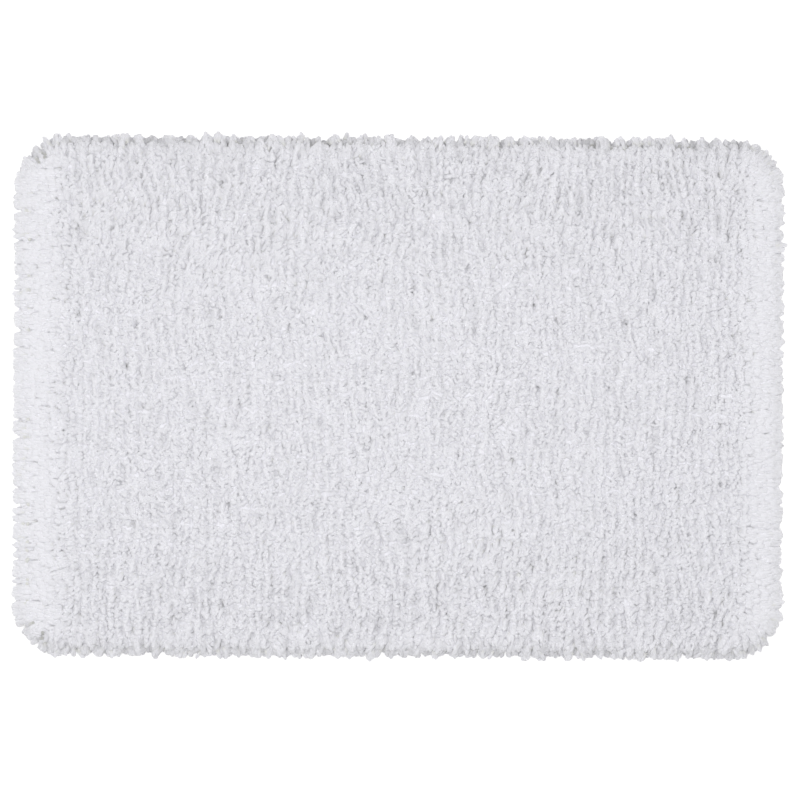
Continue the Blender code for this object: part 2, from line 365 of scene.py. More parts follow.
def rim_tufts(rng):
    """Tips all round the rounded rim, from under it to where the flat of the pile begins, and each tip's
    painted shade.
    """
    stations = np.arange(0.0, perimeter(TIP_HALF, TIP_RADIUS), RIM_PITCH)
    levels = np.arange(0.6 * MM, RIM_ARC + 2 * MM, RIM_PITCH * 0.94)
    s, u = np.meshgrid(stations, levels, indexing="ij")
    s = s + np.where(np.arange(len(levels)) % 2 > 0, RIM_PITCH / 2, 0.0)[None, :]
    s = s.ravel() + rng.normal(0.0, 0.22 * RIM_PITCH, s.size)
    u = np.maximum(u.ravel() + rng.normal(0.0, 0.22 * RIM_PITCH, u.size), 0.0)
    count = len(s)
    _, _, out_x, out_y = on_outline(s, TIP_HALF, TIP_RADIUS, 0.0)
    side = np.clip(np.abs(out_x) * 1.3 - 0.25, 0, 1)
    top, low_end = np.clip(out_y, 0, 1), np.clip(-out_y, 0, 1)
    inner = smoothstep(WIDEST_ARC + 1 * MM, WIDEST_ARC + 19 * MM, u)
    lean_out = 0.45 + 0.55 * side * (1 - 0.4 * inner) + rng.normal(0.0, 0.12 + 0.06 * inner, count)
    lean_s = rng.normal(0.0, 0.18 - 0.12 * side, count) + 0.2 * lattice_noise(s, u, 0.03, 0.05, 51)
    wander_s = s + 9 * MM * lattice_noise(s, u, 30 * MM, 18 * MM, 53)
    pull, _, _, crease = clump_pull(wander_s, u, 15 * MM, 34 * MM, 52)
    crease = crease * (0.65 + 0.45 * lattice_noise(s, u, 19 * MM, 14 * MM, 54))
    near_edge = 1 - 0.7 * smoothstep(WIDEST_ARC + 7 * MM, WIDEST_ARC + 21 * MM, u)
    outward = np.maximum(np.interp(u, ARC, NORMAL_OUT), 0.0)
    above = 0.3 + 0.7 * smoothstep(WIDEST_ARC - 6 * MM, WIDEST_ARC, u)
    lobe, notch = rim_lobe(s, out_x, out_y)
    sunk = CREASE_DEPTH * crease * (0.25 + 1.9 * top + 1.1 * low_end) * near_edge * above
    flat_x, flat_y, _ = on_rim(s, u, np.zeros(count))
    ends = (top + low_end) * (1 - side) * smoothstep(WIDEST_ARC, WIDEST_ARC + 9 * MM, u)
    onto_top = smoothstep(WIDEST_ARC, WIDEST_ARC + 12 * MM, u)
    relief = (0.25 + 0.95 * ends) * pile_relief(flat_x, flat_y) * onto_top
    sunk = sunk + CREASE_DEPTH * relief
    low_on_rim = 1 - smoothstep(WIDEST_ARC + 5 * MM, WIDEST_ARC + 14 * MM, u)
    uneven = 0.55 - 0.15 * side + 0.75 * (top + low_end) * low_on_rim
    sunk = sunk + (lobe * (0.55 + 0.45 * above) + notch) * near_edge
    sunk = sunk + rng.normal(0.0, 1.0, count) * MM * uneven
    stray = STRAY_REACH * (rng.uniform(0.0, 1.0, count) > 1 - STRAY_SHARE)
    sunk = sunk - (1.3 * MM + stray) * outward
    steps = np.linspace(0.0, 1.0, YARN_STEPS + 1)
    left = (1.0 - steps)[None, :]
    deep = sunk[:, None] + (9.0 - 4.0 * lean_out[:, None]) * MM * left**1.25
    cling = 0.22 * steps[None, :] ** 1.5
    path_s = s[:, None] - YARN_REACH * lean_s[:, None] * left + cling * pull[:, None]
    back = np.where(u > WIDEST_ARC - 3 * MM, 1.0, -0.7)[:, None]
    path_u = np.maximum(u[:, None] + back * YARN_REACH * lean_out[:, None] * left, 0.0)
    px, py, pz = on_rim(path_s.ravel(), path_u.ravel(), deep.ravel())
    # Painted shade: darker in the rim's creases, and in the gaps between scallops and in the notches near
    # the outer edge.
    at_edge = 1 - smoothstep(WIDEST_ARC + 2 * MM, WIDEST_ARC + 15 * MM, u)
    gap = np.clip((lobe + notch) / (1.4 * MM), 0.0, 1.4) * at_edge
    shade = 1.0 - crease * near_edge * (0.2 + 1.6 * top + 1.4 * low_end) - gap * (1.7 * top + 1.2 * low_end)
    # More painted shade: darker in the pile's valleys, and towards the top and bottom ends where the rim
    # rounds over.
    round_rim = 1 - smoothstep(WIDEST_ARC + 2 * MM, WIDEST_ARC + 20 * MM, u)
    shade = shade - relief - 0.45 * (top + low_end) * round_rim
    return np.stack([px, py, pz], 1).reshape(count, YARN_STEPS + 1, 3), shade


def rim_lobe(s, out_x, out_y):
    """How far the outline draws in: as scallops and ragged tips, and as V notches, most on the left."""
    top, bottom = np.clip(out_y, 0, 1), np.clip(-out_y, 0, 1)
    flat = np.zeros_like(s)
    scallops = 2.0 * top * lattice_noise(s, flat, 0.014, 1.0, 61)
    scallops = scallops + 0.9 * lattice_noise(s, flat, 0.045, 1.0, 62)
    ragged = 0.8 + 0.9 * top + 1.6 * bottom + 0.9 * (out_x > 0.6)
    ragged = ragged * lattice_noise(s, flat, 0.0055, 1.0, 64)
    pull, _, own, _ = clump_pull(s, flat, NOTCH_PITCH, 1.0, 63)
    wedge = np.clip(1 - np.abs(pull) / NOTCH_HALF_WIDTH, 0, 1) * (own > UNNOTCHED_SHARE)
    notch = (0.25 + 0.75 * (out_x < -0.5)) * NOTCH_DEPTH * wedge
    return (scallops + ragged) * MM, notch


def core_mesh(low_x, high_x):
    """The yarn packed close low in the pile, as one lumpy closed block that the tufts stand out of."""
    half = TIP_HALF - CORE_INSET
    radius = TIP_RADIUS - CORE_INSET
    low_x, high_x = max(low_x, -half[0]), min(high_x, half[0])
    gx, gy, within = rounded_grid(half, radius, low_x, high_x, CORE_CELL, CORE_CELL)
    share = np.clip((within + CORE_STEP) / (RIM_REACH - CORE_INSET + CORE_STEP), 0.0, 1.0)
    rise = np.sqrt(1.0 - (1.0 - share) ** 2)
    lumps = 0.4 * lattice_noise(gx, gy, 4.5 * MM, 7 * MM, 31)
    lumps = lumps + 0.55 * lattice_noise(gx, gy, 2.5 * MM, 3.4 * MM, 32)
    relief = CREASE_DEPTH * pile_relief(gx, gy) - lumps * MM + 0.8 * PIT_DEPTH * pits(gx, gy)
    shoulder = WIDEST + 1 * MM
    top = shoulder + (PILE_TOP - CORE_DEPTH - shoulder) * rise - relief * smoothstep(0, 8 * MM, within)
    under = smoothstep(6 * MM, 8 * MM, within)
    bottom = (FOOT + 3.2 * MM - lumps * MM) * (1 - under) + (ROOT_HEIGHT - 0.2 * MM) * under
    bottom = np.minimum(bottom + 3 * MM * (1 - smoothstep(0, 4 * MM, within)), top - 0.4 * MM)
    return slab(gx, gy, top, bottom)


def closed_tubes(points, radii, sides, unevenness, rng):
    """Closed tubes round the paths, each with a rounded end, as vertices, quads and triangles."""
    count, rings, _ = points.shape
    tangent = np.gradient(points, axis=1)
    tangent /= np.linalg.norm(tangent, axis=2, keepdims=True) + 1e-12
    guide = rng.normal(size=(count, 1, 3))
    guide = guide - (guide * tangent[:, :1]).sum(2, keepdims=True) * tangent[:, :1]
    across = np.repeat(guide, rings, axis=1)
    across = across - (across * tangent).sum(2, keepdims=True) * tangent
    across /= np.linalg.norm(across, axis=2, keepdims=True) + 1e-12
    other = np.cross(tangent, across)
    angle = np.arange(sides) / sides * 2 * math.pi
    lumps = 1.0 + rng.normal(0.0, unevenness, (count, rings, sides))
    ring = across[:, :, None, :] * np.cos(angle)[None, None, :, None]
    ring = ring + other[:, :, None, :] * np.sin(angle)[None, None, :, None]
    body = points[:, :, None, :] + ring * (radii[:, :, None] * lumps)[..., None]
    foot = points[:, :1, :]
    tip = points[:, -1:, :] + tangent[:, -1:, :] * (radii[:, -1:] * 0.75)[..., None]
    vertices = np.concatenate([foot, body.reshape(count, rings * sides, 3), tip], axis=1)
    per_tube = vertices.shape[1]
    k = np.arange(sides)
    after = (k + 1) % sides
    low = 1 + np.arange(rings - 1)[:, None] * sides
    high = low + sides
    quads = np.stack([low + k, low + after, high + after, high + k], axis=2).reshape(-1, 4)
    base_fan = np.stack([np.zeros_like(k), 1 + after, 1 + k], axis=1)
    last = 1 + (rings - 1) * sides
    tip_fan = np.stack([np.full_like(k, per_tube - 1), last + k, last + after], axis=1)
    offset = (np.arange(count) * per_tube)[:, None, None]
    all_quads = (quads[None] + offset).reshape(-1, 4)
    all_tris = (np.concatenate([base_fan, tip_fan])[None] + offset).reshape(-1, 3)
    return vertices.reshape(-1, 3), all_quads, all_tris


def mesh_from(name, vertices, quads, tris=None):
    loops = [quads.ravel()] if tris is None else [quads.ravel(), tris.ravel()]
    totals = [np.full(len(quads), 4)]
    if tris is not None:
        totals.append(np.full(len(tris), 3))
    loops = np.concatenate(loops).astype(np.int32)
    starts = np.concatenate([[0], np.cumsum(np.concatenate(totals))[:-1]]).astype(np.int32)
    mesh = bpy.data.meshes.new(name)
    mesh.vertices.add(len(vertices))
    mesh.vertices.foreach_set("co", vertices.ravel().astype(np.float32))
    mesh.loops.add(len(loops))
    mesh.loops.foreach_set("vertex_index", loops)
    mesh.polygons.add(len(starts))
    mesh.polygons.foreach_set("loop_start", starts)
    mesh.update(calc_edges=True)
    mesh.validate()
    mesh.shade_smooth()
    return mesh


def add_values(mesh, name, values):
    layer = mesh.attributes.new(name, "FLOAT", "POINT")
    layer.data.foreach_set("value", values.astype(np.float32))


def place(mesh, material, body, slot, *nodes):
    """Puts a piece in the scene, on its body, in its finish and in place of its nodes."""
    piece = bpy.data.objects.new(mesh.name, mesh)
    bpy.context.scene.collection.objects.link(piece)
    mesh.materials.append(material)
    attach(piece, body)
    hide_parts(*nodes)
    return piece


def pile_band_mesh(name, points, radii, shade, core, rng):
    """One band of tufts with its core, kept clear of the floor and, over the label, of the label."""
    vertices, quads, tris = closed_tubes(points, radii, YARN_SIDES, YARN_LUMPS, rng)
    x, y = vertices[:, 0], vertices[:, 1]
    over_label = (x > LABEL_LOW[0] - 3 * MM) & (np.abs(y) < LABEL_HIGH[1] + 2 * MM)
    lowest = np.where(over_label, LABEL_HIGH[2] + CLEARANCE, CLEARANCE)
    vertices[:, 2] = np.maximum(vertices[:, 2], lowest)
    core_vertices, core_quads = core
    every = np.concatenate([vertices, core_vertices])
    mesh = mesh_from(name, every, np.concatenate([quads, core_quads + len(vertices)]), tris)
    count, rings = radii.shape
    per_tube = rings * YARN_SIDES + 2
    along = np.concatenate([[0.0], np.repeat(np.linspace(0.0, 1.0, rings), YARN_SIDES), [1.0]])
    # Each core point's height in the pile is stored as 'along', so the core gets the yarn roots' painted
    # shade.
    in_core = (core_vertices[:, 2] - ROOT_HEIGHT) / (MAT_HIGH[2] - ROOT_HEIGHT)
    core_x, core_y = core_vertices[:, 0], core_vertices[:, 1]
    side = lean_field(core_x, core_y)[2]
    # Painted shade for the core: darker overall and in the pile's valleys, and less dark where the sides
    # are combed flat.
    core_painted_shade = 0.8 + 0.3 * side - 0.85 * (1 - COMB_CALM * side) * pile_relief(core_x, core_y)
    add_values(mesh, "along", np.concatenate([np.tile(along, count), in_core]))
    add_values(mesh, "painted_shade", np.concatenate([np.repeat(shade, per_tube), core_painted_shade]))
    return mesh


def build_pile(material):
    rng = np.random.default_rng(SEED)
    flat_points, flat_shade = interior_tufts(rng)
    rim_points, rim_shade = rim_tufts(rng)
    points = np.concatenate([flat_points, rim_points])
    shade = np.concatenate([flat_shade, rim_shade])
    share = np.linspace(0.0, 1.0, YARN_STEPS + 1)
    profile = 0.74 + 0.34 * share - 0.34 * smoothstep(0.78, 1.0, share)
    radii = YARN_RADIUS * profile[None, :] * (1 + rng.normal(0, 0.10, (len(points), 1)))
    pitch = (MAT_HIGH[0] - MAT_LOW[0]) / len(PILE_NODES)
    band = np.floor((points[:, 0, 0] - MAT_LOW[0]) / pitch).astype(int).clip(0, len(PILE_NODES) - 1)
    for number, node in enumerate(PILE_NODES):
        low_x = MAT_LOW[0] + number * pitch
        own = band == number
        name = node.replace("pile_rows", "pile_tufts")
        core = core_mesh(low_x, low_x + pitch)
        mesh = pile_band_mesh(name, points[own], radii[own], shade[own], core, rng)
        place(mesh, material, MAT_BODY, "pile_yarn", node)


HEM_LENGTH = perimeter(HEM_HALF, HEM_RADIUS)


def hem_point(s, inset):
    """The point s metres round the hem's fold, moved in by inset, and its way out."""
    return on_outline(s, HEM_HALF, HEM_RADIUS, inset)


def swept_ring(profile, closed):
    """Sweeps a cross-section round the hem. profile(s) gives insets and heights for every station."""
    stations = int(round(HEM_LENGTH / HEM_STATIONS))
    s = np.arange(stations) / stations * HEM_LENGTH
    insets, heights = profile(s)
    across = insets.shape[1]
    x, y, _, _ = hem_point(np.repeat(s, across), insets.ravel())
    vertices = np.stack([x, y, heights.ravel()], 1)
    index = np.arange(stations * across).reshape(stations, across)
    ahead = np.roll(index, -1, axis=0)
    if closed:
        a, b = index, np.roll(index, -1, axis=1)
        d, c = ahead, np.roll(ahead, -1, axis=1)
    else:
        a, b = index[:, :-1], index[:, 1:]
        d, c = ahead[:, :-1], ahead[:, 1:]
    quads = np.stack([a, b, c, d], 2).reshape(-1, 4)
    return vertices, quads, index


def build_backing_cloth(material):
    """One sheet of cloth: flat under the pile, down round the fold, and in again as the turned margin."""
    bend = np.radians(np.linspace(90, 270, 9))
    top = CLOTH_HIGH[2] - 0.1 * MM
    low = CLOTH_LOW[2] + 0.1 * MM
    middle, reach = (top + low) / 2, (top - low) / 2
    fold_in, fold_z = reach * (1 + np.cos(bend)), middle + reach * np.sin(bend)
    inside = reach - CLOTH_THICK
    back_in, back_z = reach + inside * np.cos(bend[::-1]), middle + inside * np.sin(bend[::-1])
    turned = [8 * MM, MARGIN_TURN, MARGIN_TURN, 8 * MM]
    insets = np.concatenate([[FLAT_FROM, 12 * MM], fold_in, turned, back_in, [12 * MM, FLAT_FROM]])
    turned = [low, low, low + CLOTH_THICK, low + CLOTH_THICK]
    heights = np.concatenate([[top, top], fold_z, turned, back_z, [top - CLOTH_THICK] * 2])

    def profile(s):
        return np.tile(insets, (len(s), 1)), np.tile(heights, (len(s), 1))

    vertices, quads, index = swept_ring(profile, closed=False)
    mesh = bpy.data.meshes.new("backing_cloth_sheet")
    faces = quads.tolist() + [index[:, 0].tolist(), index[::-1, -1].tolist()]
    mesh.from_pydata(vertices.tolist(), [], faces)
    mesh.validate()
    mesh.shade_smooth()
    sheet = place(mesh, material, MAT_BODY, "backing_cloth", "backing_cloth")


def build_hem_tape(material):
    """The twill tape: held in at both seams, crowned between them, and in small pleats at the corners."""
    across = np.array([0.0, 0.06, 0.21, 0.32, 0.45, 0.58, 0.68, 0.79, 0.94, 1.0])
    width = TAPE_INNER - TAPE_OUTER
    seams = [(inset - TAPE_OUTER) / width for inset in SEAM_INSETS.values()]
    held = np.max([np.exp(-(((across - seam) / 0.07) ** 2)) for seam in seams], axis=0)

    def profile(s):
        _, _, out_x, out_y = hem_point(s, np.zeros_like(s))
        corner = smoothstep(0.02, 0.20, np.abs(out_x * out_y))
        wave = np.sin(2 * math.pi * s / STITCH_LENGTH / 2.5 + 2 * lattice_noise(s, s * 0, 0.03, 1.0, 81))
        pleat = np.maximum(np.sin(2 * math.pi * s / (6.4 * MM)), 0.0) ** 3
        puff = PUCKER * (0.5 * wave * (1 - corner) + 1.3 * pleat * corner)
        drop = puff[:, None] * (1 - held)[None, :] + 0.12 * MM * (1 - held)[None, :]
        under = TAPE_LOW[2] + 0.22 * MM - drop
        over = np.full_like(under, TAPE_HIGH[2] - 0.02 * MM)
        over = np.minimum(over, under + TAPE_THICK + drop * 0.2)
        edge = 0.25 * MM * lattice_noise(s, s * 0, 0.02, 1.0, 82)[:, None]
        insets = TAPE_OUTER + width * across[None, :] + edge
        return np.concatenate([insets, insets[:, ::-1]], 1), np.concatenate([under, over[:, ::-1]], 1)

    vertices, quads, _ = swept_ring(profile, closed=True)
    mesh = mesh_from("hem_tape_ring", vertices, quads)
    tape = place(mesh, material, MAT_BODY, "hem_twill", "hem_tape")


def stitch_row(starts, ends, seam_height, crest_height, rng):
    """A row of stitches, each a length of thread that comes out of one hole and goes into the next."""
    share = np.array([0.04, 0.16, 0.38, 0.62, 0.84, 0.96])
    rise = np.array([0.0, 0.72, 1.0, 1.0, 0.72, 0.0])
    swell = np.array([0.75, 1.0, 1.04, 1.04, 1.0, 0.75])
    points = np.zeros((len(starts), len(share), 3))
    points[:, :, :2] = starts[:, None] * (1 - share)[None, :, None] + ends[:, None] * share[None, :, None]
    points[:, :, 2] = seam_height + (crest_height - seam_height) * rise[None, :]
    radii = np.full((len(starts), len(share)), THREAD_RADIUS) * swell[None, :]
    return closed_tubes(points, radii, 6, 0.04, rng)


def build_seams(material):
    """Two lines of lockstitch, each a needle thread on the cloth and a bobbin thread under the tape."""
    rng = np.random.default_rng(SEED + 1)
    for line, inset in SEAM_INSETS.items():
        count = int(round((HEM_LENGTH - 2 * math.pi * inset) / STITCH_LENGTH))
        s = np.arange(count) / count * HEM_LENGTH
        x, y, _, _ = hem_point(s, np.full(count, inset))
        holes = np.stack([x, y], 1) + rng.normal(0.0, 0.06 * MM, (count, 2))
        ahead = np.roll(holes, -1, axis=0)
        needle = (CLOTH_HIGH[2] - 0.3 * MM, CLOTH_HIGH[2] + THREAD_RADIUS)
        bobbin = (TAPE_LOW[2] + 0.3 * MM, TAPE_LOW[2] - 0.6 * THREAD_RADIUS)
        for thread, (seam, crest) in (("needle", needle), ("bobbin", bobbin)):
            row = stitch_row(holes, ahead, seam, crest, rng)
            mesh = mesh_from(f"{thread}_stitches_{line}", *row)
            place(mesh, material, MAT_BODY, "sewing_thread", f"{thread}_thread_{line}")


def build_label_seam(material):
    rng = np.random.default_rng(SEED + 2)
    low, high = (np.array(corner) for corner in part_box("label_stitch"))
    count = int(round((high[1] - low[1]) / LABEL_STITCH_LENGTH))
    y = np.linspace(low[1], high[1], count + 1)
    holes = np.stack([np.full(count + 1, (low[0] + high[0]) / 2), y], 1)
    seam, crest = TAPE_LOW[2] + 0.2 * MM, TAPE_LOW[2] - 0.35 * MM
    mesh = mesh_from("label_stitches", *stitch_row(holes[:-1], holes[1:], seam, crest, rng))
    place(mesh, material, MAT_BODY, "sewing_thread", "label_stitch")


def rounded_grid(half, radius, low_x, high_x, cell_x, cell_y, corner_cell=None):
    """A grid over a rounded rectangle, its outer points drawn in to the outline, and how far inside each
    point is. With corner_cell, the rows are that close at the corners, and cell_y apart between them."""
    columns = max(2, int(round((high_x - low_x) / cell_x)))
    rows = int(round(2 * half[1] / cell_y))
    along_x = np.linspace(low_x, high_x, columns + 1)
    along_y = np.linspace(-half[1], half[1], rows + 1)
    if corner_cell is not None:
        corner = np.linspace(half[1] - radius, half[1], int(round(radius / corner_cell)) + 1)[1:]
        middle = np.linspace(-half[1] + radius, half[1] - radius, rows + 1)
        along_y = np.concatenate([-corner[::-1], middle, corner])
    gx, gy = np.meshgrid(along_x, along_y, indexing="ij")
    mid_x, mid_y = half - radius
    over_x = np.maximum(np.abs(gx) - mid_x, 0.0)
    over_y = np.maximum(np.abs(gy) - mid_y, 0.0)
    reach = np.hypot(over_x, over_y)
    squeeze = np.where(reach > radius, radius / np.maximum(reach, 1e-9), 1.0)
    gx = np.where(over_x > 0, np.sign(gx) * (mid_x + over_x * squeeze), gx)
    gy = np.where(over_y > 0, np.sign(gy) * (mid_y + over_y * squeeze), gy)
    return gx, gy, distance_inside(gx, gy, half, radius)


def slab(gx, gy, top, bottom):
    """A closed slab between two heights over the same grid, as vertices and quads."""
    across, deep = gx.shape
    upper_points = np.stack([gx, gy, top], 2).reshape(-1, 3)
    lower_points = np.stack([gx, gy, bottom], 2).reshape(-1, 3)
    index = np.arange(across * deep).reshape(across, deep)
    upper = np.stack([index[:-1, :-1], index[1:, :-1], index[1:, 1:], index[:-1, 1:]], 2).reshape(-1, 4)
    lower = upper[:, ::-1] + across * deep
    rim = np.concatenate([index[:, 0], index[-1, 1:], index[-2::-1, -1], index[0, -2:0:-1]])
    after = np.roll(rim, -1)
    wall = np.stack([rim + across * deep, after + across * deep, after, rim], 1)
    return np.concatenate([upper_points, lower_points]), np.concatenate([upper, lower, wall])


def grip_dots(half, radius, rng):
    """Low domed dots of latex in staggered rows, proud of the coat, that the mat stands on."""
    rows = np.arange(-half[0] + DOT_SPACING, half[0] - DOT_SPACING / 2, DOT_SPACING)
    places = np.arange(-half[1] + DOT_SPACING, half[1] - DOT_SPACING / 2, DOT_SPACING)
    x, y = np.meshgrid(rows, places, indexing="ij")
    y = y + np.where(np.arange(len(rows)) % 2 > 0, DOT_SPACING / 2, 0.0)[:, None]
    x, y = x.ravel(), y.ravel()
    keep = distance_inside(x, y, half, radius) > DOT_MARGIN
    x, y = x[keep], y[keep]
    spread = DOT_RADIUS * (1 + rng.normal(0, 0.04, len(x)))
    share = np.array([1.0, 0.86, 0.45])
    height = np.array([DOT_HEAD, 0.35 * FIELD_HEIGHT, 0.04 * FIELD_HEIGHT])
    angle = np.arange(DOT_SIDES) / DOT_SIDES * 2 * math.pi
    reach = spread[:, None, None] * share[None, :, None]
    ring_x = x[:, None, None] + reach * np.cos(angle)[None, None, :]
    ring_y = y[:, None, None] + reach * np.sin(angle)[None, None, :]
    ring_z = np.broadcast_to(height[None, :, None], ring_x.shape)
    rings = np.stack([ring_x, ring_y, ring_z], 3).reshape(len(x), -1, 3)
    head = np.stack([x, y, np.full_like(x, DOT_HEAD)], 1)[:, None]
    tip = np.stack([x, y, np.zeros_like(x)], 1)[:, None]
    vertices = np.concatenate([head, rings, tip], 1)
    k = np.arange(DOT_SIDES)
    after = (k + 1) % DOT_SIDES
    low = 1 + np.arange(len(share) - 1)[:, None] * DOT_SIDES
    quads = np.stack([low + k, low + DOT_SIDES + k, low + DOT_SIDES + after, low + after], 2).reshape(-1, 4)
    last = 1 + (len(share) - 1) * DOT_SIDES
    head_fan = np.stack([np.zeros_like(k), 1 + k, 1 + after], 1)
    tip_fan = np.stack([np.full_like(k, last + DOT_SIDES), last + after, last + k], 1)
    offset = (np.arange(len(x)) * vertices.shape[1])[:, None, None]
    tris = (np.concatenate([head_fan, tip_fan])[None] + offset).reshape(-1, 3)
    return vertices.reshape(-1, 3), (quads[None] + offset).reshape(-1, 4), tris


def build_antislip_coat(material):
    """The latex coat: ribbed by the rows of tufts behind it, thinned off at its edge, with grip dots."""
    rng = np.random.default_rng(SEED + 3)
    half = COAT_HIGH[:2]
    radius = HEM_RADIUS - (HEM_HALF[0] - half[0])
    gx, gy, within = rounded_grid(half, radius, -half[0], half[0], ROW_PITCH / 2, 20 * MM, 2.4 * MM)
    ribs = 0.10 * MM * np.cos(2 * math.pi * gx / ROW_PITCH)
    swell = 0.10 * MM * lattice_noise(gx, gy, 60 * MM, 80 * MM, 91)
    edge = 0.5 * MM * (1 - smoothstep(0.0, 5 * MM, within))
    bottom = FIELD_HEIGHT + ribs + swell + edge
    top = np.full_like(gx, COAT_HIGH[2])
    vertices, quads = slab(gx, gy, top, bottom)
    dots, dot_quads, dot_tris = grip_dots(half, radius, rng)
    every = np.concatenate([vertices, dots])
    all_quads = np.concatenate([quads, dot_quads + len(vertices)])
    mesh = mesh_from("antislip_coat_dotted", every, all_quads, dot_tris + len(vertices))
    place(mesh, material, MAT_BODY, "antislip_latex", "antislip_coat")


def build_care_label(material):
    """A blank satin label with a slight wave, sealed along its cut edges."""
    low, high = LABEL_LOW, LABEL_HIGH
    across = int(round((high[0] - low[0]) / LABEL_CELL))
    along = int(round((high[1] - low[1]) / LABEL_CELL))
    x = np.linspace(low[0], high[0], across + 1)
    y = np.linspace(low[1], high[1], along + 1)
    gx, gy = np.meshgrid(x, y, indexing="ij")
    free = smoothstep(0.0, 1.0, (gx - low[0]) / (high[0] - low[0]))
    wave = 0.14 * MM * free * np.sin(gy / (high[1] - low[1]) * 2 * math.pi * 1.4 + gx / (9 * MM))
    sealed = np.minimum(np.abs(gy - low[1]), np.abs(gy - high[1])) < 0.9 * MM
    middle = (low[2] + high[2]) / 2 + wave
    thick = LABEL_THICK * np.where(sealed, 1.25, 1.0)
    vertices, quads = slab(gx, gy, middle + thick / 2, middle - thick / 2)
    mesh = mesh_from("care_label_satin", vertices, quads)
    label = place(mesh, material, "label", "label_satin", "care_label")


def plain_material(name, colour, roughness):
    material = bpy.data.materials.new(name)
    material.use_nodes = True
    shader = material.node_tree.nodes["Principled BSDF"]
    shader.inputs["Base Color"].default_value = (*colour, 1.0)
    shader.inputs["Roughness"].default_value = roughness
    return material


def new_group(name, inputs, outputs):
    """An empty shader group with float or vector inputs, and float outputs."""
    group = bpy.data.node_groups.new(name, "ShaderNodeTree")
    for label, kind, value in inputs:
        socket = group.interface.new_socket(name=label, in_out="INPUT", socket_type=kind)
        if value is not None:
            socket.default_value = value
    for label in outputs:
        group.interface.new_socket(name=label, in_out="OUTPUT", socket_type="NodeSocketFloat")
    return group, group.nodes.new("NodeGroupInput"), group.nodes.new("NodeGroupOutput")


def maths(tree, operation, first, second):
    """A math node. Each operand is a socket or a number."""
    node = tree.nodes.new("ShaderNodeMath")
    node.operation = operation
    for socket, value in zip(node.inputs, (first, second)):
        if isinstance(value, bpy.types.NodeSocket):
            tree.links.new(value, socket)
        else:
            socket.default_value = value
    return node.outputs["Value"]


def make_fuzz_group():
    """Short loose fibres, as the height of a fine grain."""
    group, given, out = new_group(
        "cotton fuzz",
        [("Vector", "NodeSocketVector", None), ("Fibres per metre", "NodeSocketFloat", 600.0)],
        ["Height"],
    )
    noise = group.nodes.new("ShaderNodeTexNoise")
    noise.inputs["Detail"].default_value = 3.0
    group.links.new(given.outputs["Vector"], noise.inputs["Vector"])
    group.links.new(given.outputs["Fibres per metre"], noise.inputs["Scale"])
    group.links.new(noise.outputs["Fac"], out.inputs["Height"])
    return group


def make_weave_group():
    """Crossing threads: Height is their over and under, Lines the gaps. Slant makes it a twill."""
    group, given, out = new_group(
        "woven threads",
        [
            ("Vector", "NodeSocketVector", None),
            ("Warp per metre", "NodeSocketFloat", 1500.0),
            ("Weft per metre", "NodeSocketFloat", 1500.0),
            ("Slant", "NodeSocketFloat", 0.0),
        ],
        ["Height", "Lines"],
    )
    split = group.nodes.new("ShaderNodeSeparateXYZ")
    group.links.new(given.outputs["Vector"], split.inputs["Vector"])
    x, y = split.outputs["X"], split.outputs["Y"]
    turn = 2 * math.pi
    warp = maths(group, "MULTIPLY", maths(group, "MULTIPLY", x, given.outputs["Warp per metre"]), turn)
    weft = maths(group, "MULTIPLY", maths(group, "MULTIPLY", y, given.outputs["Weft per metre"]), turn)
    weft = maths(group, "ADD", weft, maths(group, "MULTIPLY", warp, given.outputs["Slant"]))
    crossing = maths(group, "MULTIPLY", maths(group, "SINE", warp, 0.0), maths(group, "SINE", weft, 0.0))
    height = maths(group, "ADD", maths(group, "MULTIPLY", crossing, 0.5), 0.5)
    lines = maths(group, "MULTIPLY", maths(group, "COSINE", warp, 0.0), maths(group, "COSINE", weft, 0.0))
    group.links.new(height, out.inputs["Height"])
    group.links.new(maths(group, "ABSOLUTE", lines, 0.0), out.inputs["Lines"])
    return group


def make_marks_group():
    """Faint uneven marks of making and handling, in soft patches with a finer speckle in them."""
    group, given, out = new_group(
        "handling marks",
        [("Vector", "NodeSocketVector", None), ("Patches per metre", "NodeSocketFloat", 18.0)],
        ["Marks"],
    )
    patch = group.nodes.new("ShaderNodeTexNoise")
    patch.inputs["Detail"].default_value = 6
    patch.inputs["Distortion"].default_value = 0.6
    speckle = group.nodes.new("ShaderNodeTexNoise")
    speckle.inputs["Detail"].default_value = 2
    for node, factor in ((patch, 1.0), (speckle, 14.0)):
        group.links.new(given.outputs["Vector"], node.inputs["Vector"])
        scale = maths(group, "MULTIPLY", given.outputs["Patches per metre"], factor)
        group.links.new(scale, node.inputs["Scale"])
    mixed = maths(group, "MULTIPLY", patch.outputs["Fac"], maths(group, "ADD", speckle.outputs["Fac"], 0.5))
    group.links.new(mixed, out.inputs["Marks"])
    return group


